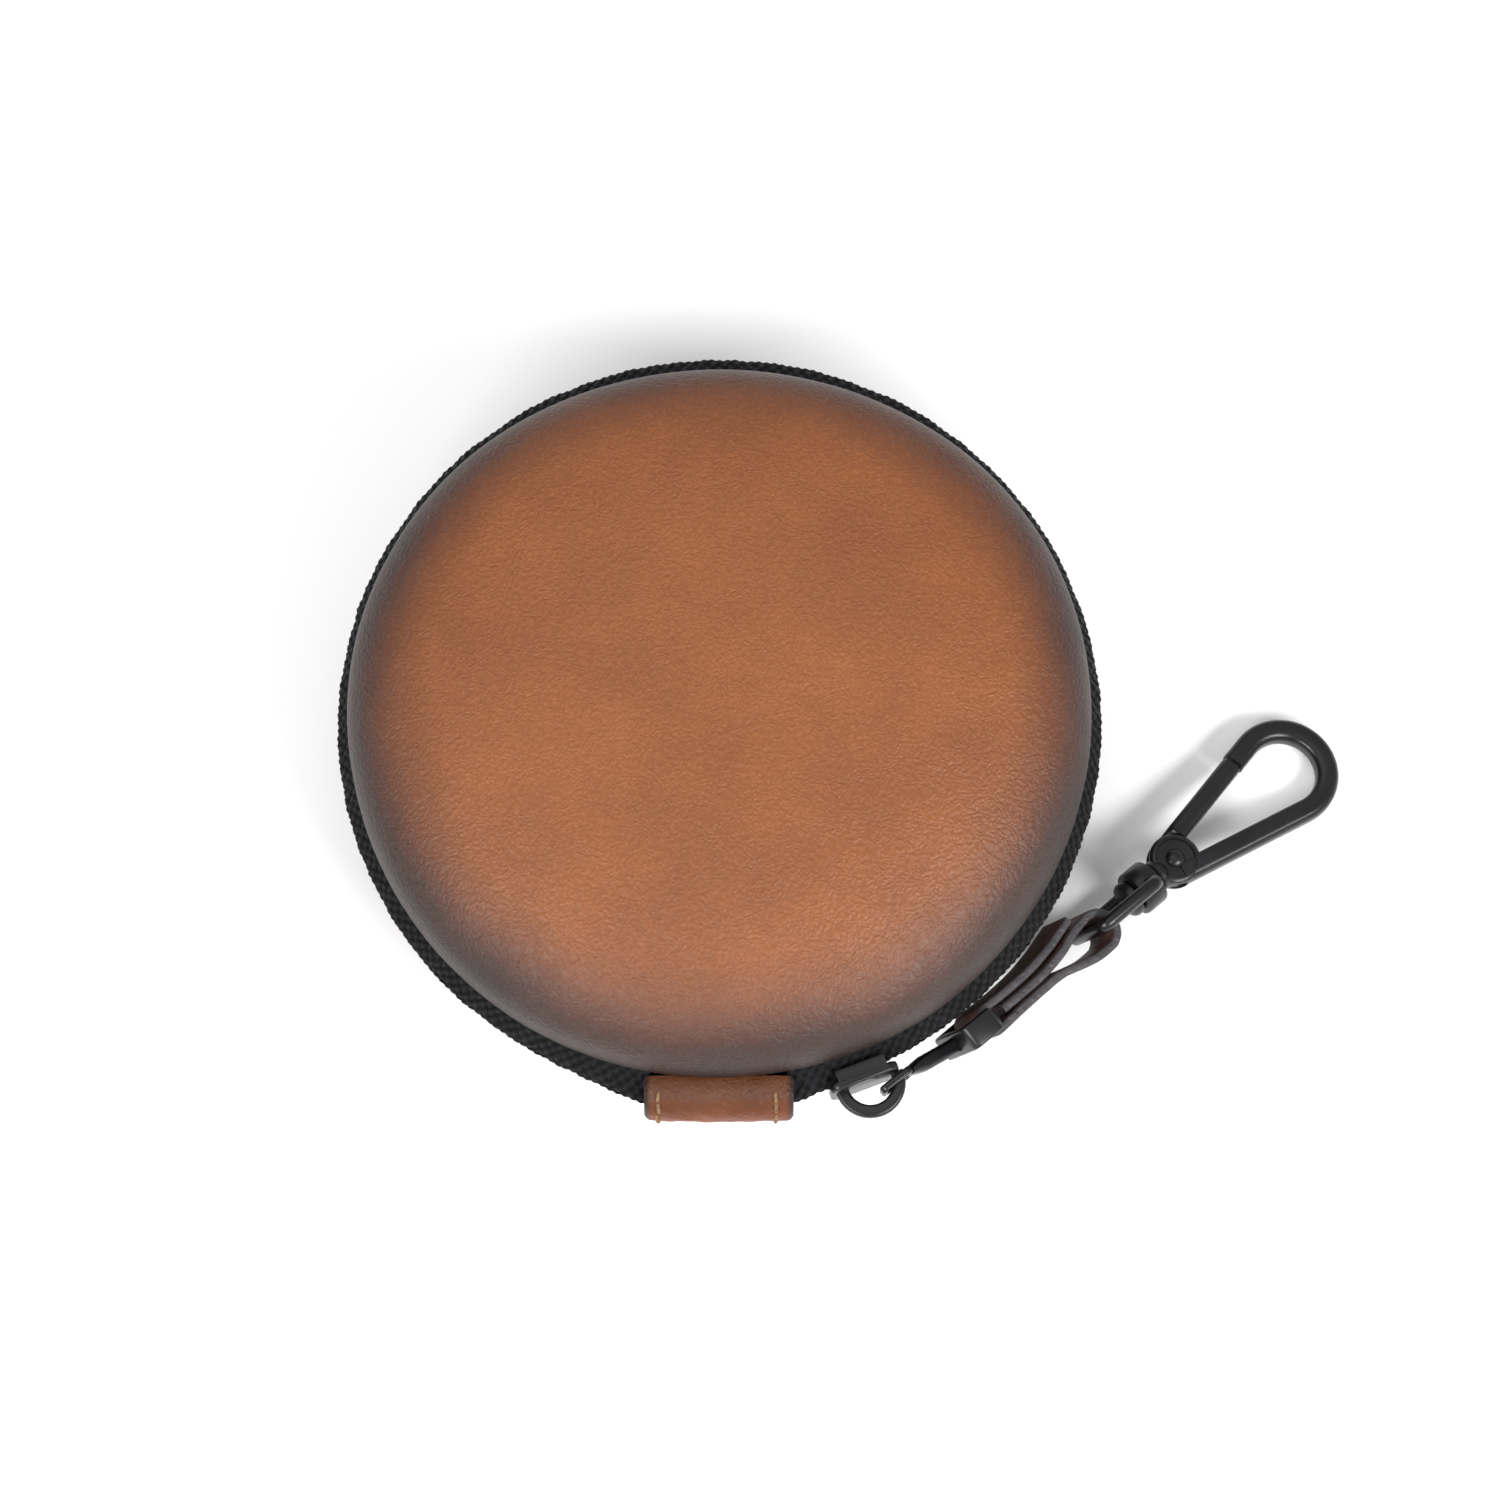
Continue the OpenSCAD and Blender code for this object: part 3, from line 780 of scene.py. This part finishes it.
def slider(metal):
    plate_in, plate_t = BAND_R + 0.85 * MM, 1.2 * MM
    tail = 4.9 * MM
    post_start = 46.8 * MM
    rail_section = rounded_box_section(1.6 * MM, 0.6 * MM, 0.15 * MM)
    parts = [
        plate_mesh("outer_plate", plate_in, plate_t, -4.4 * MM, tail, 6.6 * MM, 1.5 * MM, metal),
        plate_mesh("inner_plate", 45.9 * MM, 1 * MM, -4.4 * MM, 4.4 * MM, 6 * MM, 1.4 * MM, metal),
        plate_mesh("post", post_start, plate_in + 0.1 * MM - post_start, -4 * MM, -1.6 * MM, 0.66 * MM,
                   0.3 * MM, metal, 0.05 * MM),
    ]
    for s in (-1, 1):
        rail = [(plate_in - 0.5 * MM, y * MM, s * 3 * MM) for y in (-3.1, -1, 1, 3.6)]
        parts.append(sweep("rail", rail, rail_section, metal, SLIDER_FRAME))
    place_piece(joined("slider_plates", parts), "slider", "black_metal", "slider_body")
    face = plate_in + plate_t
    crown_y, crown_r, root = 0.9 * MM, 3.75 * MM, 0.2 * MM
    crown_path = [Vector((face - root, crown_y - crown_r, 0))]
    crown_path += arc((face, crown_y), crown_r, -90, 90, 28)
    crown_path += [Vector((face - root, crown_y + crown_r, 0))]
    crown_section = rounded_box_section(1.7 * MM, 1.4 * MM, 0.45 * MM)
    crown = sweep("slider_half_ring", crown_path, crown_section, metal, SLIDER_FRAME)
    place_piece(crown, "slider", "black_metal", "slider_crown")


def loop_path(x0, x1, z0, z1, r, steps=5):
    """Rectangle with round corners in the x-z plane."""
    path = []
    corners = ((x1 - r, z1 - r), (x0 + r, z1 - r), (x0 + r, z0 + r), (x1 - r, z0 + r))
    for start, (cx, cz) in zip((0, 90, 180, 270), corners):
        for i in range(steps + 1):
            a = math.radians(start + 90 * i / steps)
            path.append(Vector((cx + r * math.cos(a), 0, cz + r * math.sin(a))))
    return path


def pull(metal):
    link_section = rounded_box_section(1.0 * MM, 0.8 * MM, 0.3 * MM)
    back = Vector((0, 1, 0))
    link = sweep("link", loop_path(-0.05 * MM, 4.1 * MM, -1.42 * MM, 1.42 * MM, 0.5 * MM),
                 [(b, a) for a, b in link_section], metal, PULL_FRAME, closed=True, up=back)
    start = PULL_FRAME @ Vector((4.0 * MM, 0, 0))
    end = STRAP_FRAME @ Vector((-4.6 * MM, 0, 0.2 * MM))
    stem_frame = axes(start, end - start, STRAP_FRAME.to_3x3() @ Vector((0, 0, 1)))
    length = (end - start).length
    stem_path = [Vector((length * t, 0, 0)) for t in (0, 0.06, 0.15, 0.3, 0.5, 0.75, 1)]
    wide = [(0.45, 1.1), (0.6, 1.2), (0.8, 1.0), (1, 0.9), (1, 0.85), (1, 0.9), (1.02, 1)]
    stem_section = rounded_box_section(2.1 * MM, 2.2 * MM, 0.7 * MM, 5)
    stem = sweep("stem", stem_path, stem_section, metal, stem_frame, scale=wide)
    half = 4.85 * MM + 0.575 * MM
    window = loop_path(-4.25 * MM, 0, -half, half, 0.7 * MM)
    slim = [(1.3, 0.45) if p.x > -0.25 * MM else (1, 1) for p in window]
    ring_section = rounded_box_section(1.15 * MM, 3.4 * MM, 0.35 * MM)
    ring = sweep("end_frame", window, ring_section, metal, STRAP_FRAME, closed=True, up=back, scale=slim)
    place_piece(joined("zip_pull", [link, stem, ring]), "pull", "black_metal", "pull")


# ---- Strap ----


def round_points(centre, r, degrees):
    """Points at these angles on a circle."""
    return [
        (centre[0] + r * math.cos(a), centre[1] + r * math.sin(a))
        for a in map(math.radians, degrees)
    ]


def strap(material):
    """Path in millimetres: from the free end round the pull's bar, then round the eye and back."""
    bend, eye_bend = 1.7, 2.5
    cx, cy = STRAP_L / MM - 0.6, -0.3
    points = [(16.9, 3.5), (14.8, 2.95), (12.7, 2.4), (8.5, 1.75), (4, 1.6), (0.3, bend)]
    points += round_points((0, 0), bend, range(110, 251, 20))
    points += [(0.3, -bend), (4, -1.5), (8.2, -1.37), (11.8, -1.45), (15.2, -2.35), (17.4, -2.77)]
    points += round_points((cx, cy), eye_bend, range(-80, 101, 18))
    points += [(16.4, 1.75), (13.3, 0.75), (9, 0.1), (5, 0.03), (2.1, 0.05)]
    path = smooth_path([Vector((x * MM, y * MM, 0)) for x, y in points], 5)
    thickness, width = 1.2 * MM, 9 * MM
    section = rounded_box_section(thickness, width, 0.32 * MM, 3)
    o = sweep("folded_strap", path, section, material, None, sharp=50)
    edge = o.data.attributes.new("edge", "FLOAT", "POINT")
    for v in o.data.vertices:
        height = abs(v.co.z) / (width / 2)
        edge.data[v.index].value = 1.0 if height > 0.955 else 0.0
    o.data.transform(STRAP_FRAME)
    place_piece(o, "strap", "strap_leather", "strap")


# ---- Swivel eye and snap hook ----


def eye(metal):
    x0, x1 = STRAP_L, STRAP_L + 9.8 * MM
    half = 5.9 * MM
    circle = round_points((0, 0), 0.98 * MM, (360 * i / 16 for i in range(16)))
    ring_path = loop_path(x0 - 0.1 * MM, x1, -half, half, 1.2 * MM, 6)
    back = Vector((0, 1, 0))
    frame_ring = sweep("eye_frame", ring_path, circle, metal, STRAP_FRAME, closed=True, up=back)
    a, b, r, bore = STRAP_L + COLLAR_START, STRAP_L + 11.5 * MM, 3.15 * MM, 1.36 * MM
    soft = 0.35 * MM
    near_side = [(bore, a), (r - soft, a), (r - soft * 0.3, a + soft * 0.3), (r, a + soft)]
    far_side = [(r, b - soft), (r - soft * 0.3, b - soft * 0.3), (r - soft, b), (bore, b)]
    collar = lathe("collar", near_side + far_side, metal, STRAP_FRAME, axis="X")
    place_piece(joined("eye", [frame_ring, collar]), "eye", "black_metal", "swivel_eye")


def turned(name, points, material, matrix, steps=40, axis="Z"):
    """Lathe work with its (radius, height) points in millimetres."""
    return lathe(name, [(r * MM, h * MM) for r, h in points], material, matrix, steps, axis)


def hook_lines():
    """Centre lines, in millimetres, of the hook's wire and of the gate's bar, from the disc's middle."""
    tilt = 90 + math.degrees(math.asin((CROOK_R - DISC_R) / HOOK_L))
    normal = Vector((math.cos(math.radians(tilt)), math.sin(math.radians(tilt)), 0))
    low = Vector((normal.x, -normal.y, 0))
    far = Vector((HOOK_L, 0, 0))
    disc_line, crook_line = DISC_R - WIRE / 2, CROOK_R - WIRE / 2
    arm_start, arm_end = low * disc_line, far + low * crook_line
    nose_start, gate_root = far + normal * crook_line, normal * disc_line
    along = (nose_start - gate_root).normalized()
    nose = -along * NOSE_L
    wire = [arm_start + (arm_end - arm_start) * i / 14 for i in range(15)]
    wire += arc(far, crook_line, -tilt, tilt, 44)[1:]
    wire += [nose_start + nose * i / 4 for i in range(1, 5)]
    stations = (-0.9, 0.4, 1.6, 2.6, 3.1, 3.4, 8, 14, GATE_L - 0.4, GATE_L - 0.12)
    bar = [gate_root + along * d for d in stations]
    return [p * MM for p in wire], [p * MM for p in bar]


def hook_frame(metal):
    """The bent wire, the two cheeks that hold the gate, and the neck that takes the swivel pin."""
    wire_section = rounded_box_section(WIRE * MM, HOOK_T * MM, 1.05 * MM, 5)
    body = sweep("hook_wire", hook_lines()[0], wire_section, metal, LEAN, sharp=45)
    half, slot = HOOK_T / 2, 0.76
    ring, dish = half - 0.22, half - 0.286
    low_side = [(0.01, -half), (2.6, -half), (3.2, -1.4), (3.45, -1.15), (DISC_R, -0.8), (DISC_R, -slot)]
    top_side = [(DISC_R, slot), (DISC_R, 0.8), (3.45, 1.15), (3.2, 1.4), (2.95, half), (2.72, half)]
    top_side += [(2.6, ring), (1.6, dish), (0.01, dish)]
    low_cheek = turned("low_cheek", low_side + [(0.01, -slot)], metal, LEAN, 56)
    top_cheek = turned("top_cheek", [(0.01, slot)] + top_side, metal, LEAN, 56)
    shoulder_line = [(-3.0, -0.9), (-1.6, -1.9), (0.2, -2.1), (2.0, -2.4)]
    shoulder_path = [Vector((x * MM, y * MM, 0)) for x, y in shoulder_line]
    shoulder_section = rounded_box_section(1.9 * MM, 2.6 * MM, 0.5 * MM)
    shoulder = sweep("shoulder", shoulder_path, shoulder_section, metal, LEAN)
    neck_line = [(1.3, -3.8), (1.9, -3.8), (2.2, -3.5), (2.2, -2.9), (1.4, -1.9), (0.01, -1.9)]
    neck = turned("neck", neck_line, metal, HOOK_FRAME, axis="X")
    parts = [body, low_cheek, top_cheek, shoulder, neck]
    place_piece(joined("snap_hook", parts), "hook", "black_metal", "hook_body")


def swivel_pin(metal):
    """Pin from the hook's neck through the collar, with its head inside the eye."""
    head = (STRAP_L + COLLAR_START - (DISC - BAR).length) / MM - 0.3
    shape = [(0.01, head - 1.5), (1.6, head - 1.42), (2.3, head - 1.15), (2.5, head - 0.8)]
    shape += [(2.5, head - 0.15), (2.35, head), (1.3, head), (1.3, -3.3), (0.01, -3.3)]
    pin = turned("swivel_pin", shape, metal, HOOK_FRAME, axis="X")
    place_piece(pin, "hook", "black_metal", "swivel_post")


def gate_rivet(metal):
    dome = [(0.01, 1.9), (0.45, 1.86), (0.9, 1.7), (1.2, 1.45), (1.3, 1.22)]
    low_dome = [(r, -z - 0.25) for r, z in reversed(dome)]
    rivet = turned("rivet", dome + [(0.8, 1.2), (0.8, -1.5)] + low_dome, metal, HOOK_FRAME, 32)
    place_piece(rivet, "hook", "black_metal", "gate_rivet")


def gate(metal):
    """Bar that closes the hook, with a thin tongue between the cheeks."""
    thin, full = (1.0, 0.46), (1.0, 1.0)
    scale = [thin, thin, thin, thin, (1, 0.6), full, full, full, full, (0.94, 0.94)]
    bar_section = rounded_box_section(2.72 * MM, 2.7 * MM, 0.95 * MM, 5)
    bar = sweep("gate_bar", hook_lines()[1], bar_section, metal, LEAN, scale=scale, sharp=45)
    knuckle_line = [(0.86, -0.65), (2.6, -0.65), (2.7, -0.5), (2.7, 0.5), (2.6, 0.65), (0.86, 0.65)]
    knuckle = turned("knuckle", knuckle_line, metal, LEAN)
    place_piece(joined("hook_gate", [bar, knuckle]), "gate", "black_metal", "gate")


# ---- Build ----

make_camera()
make_stage()
leather = burnished_leather("burnished leather")
zip_tape = woven("zip tape")
lining = woven("lining cloth", 0.9 * MM, 0.00006, (46, 44, 44), (24, 23, 23))
coil_plastic = plain_noise("coil plastic", srgb(20, 20, 22), srgb(34, 34, 37), 900.0, 0.45, 0.00002)
metal = black_metal()
thread_material = plain_noise("tan thread", srgb(84, 60, 38), srgb(140, 108, 72), 2600.0, 0.8)
foam = plain_noise("moulded foam", srgb(38, 38, 38), srgb(62, 62, 62), 1800.0, 0.9)
spring = plain_noise("spring wire", srgb(120, 120, 122), srgb(160, 160, 162), 900.0, 0.35)

base_h = DOME_H / (1 - BASE_FLAT ** BASE_POWER) ** (1 / BASE_POWER)
LINING_DEPTH, FOAM_DEPTH = (3.47 * MM, 4.05 * MM), (1.85 * MM, 3.44 * MM)
for side, half, h, power in ((1, "lid", DOME_H, LID_POWER), (-1, "base", base_h, BASE_POWER)):
    shell = leather_half(f"{half}_leather", side, h, power, leather)
    filling = layer_half(f"{half}_foam", side, h, power, *FOAM_DEPTH, 0.05 * MM, foam, sheet=False)
    cloth = layer_half(f"{half}_lining_cloth", side, h, power, *LINING_DEPTH, 0.05 * MM, lining)
    edge = binding_half(f"{half}_edge_tape", side, zip_tape)
    for piece, name, part in (
        (shell, "leather", "cover"),
        (filling, "foam", "stiffener"),
        (cloth, "lining", "lining"),
        (edge, "tape", "binding"),
    ):
        place_piece(settle(piece), half, name, f"{half}_{part}")
zip_pieces(zip_tape, coil_plastic)
hinge(patch_leather(), thread_material, zip_tape)
slider(metal)
pull(metal)
strap(strap_leather())
eye(metal)
hook_frame(metal)
swivel_pin(metal)
gate_rivet(metal)
gate(metal)

spring_coil = frame["nodes"]["gate_spring"].data
spring_coil.materials.clear()
spring_coil.materials.append(spring)

bpy.context.scene.view_settings.view_transform = "Standard"
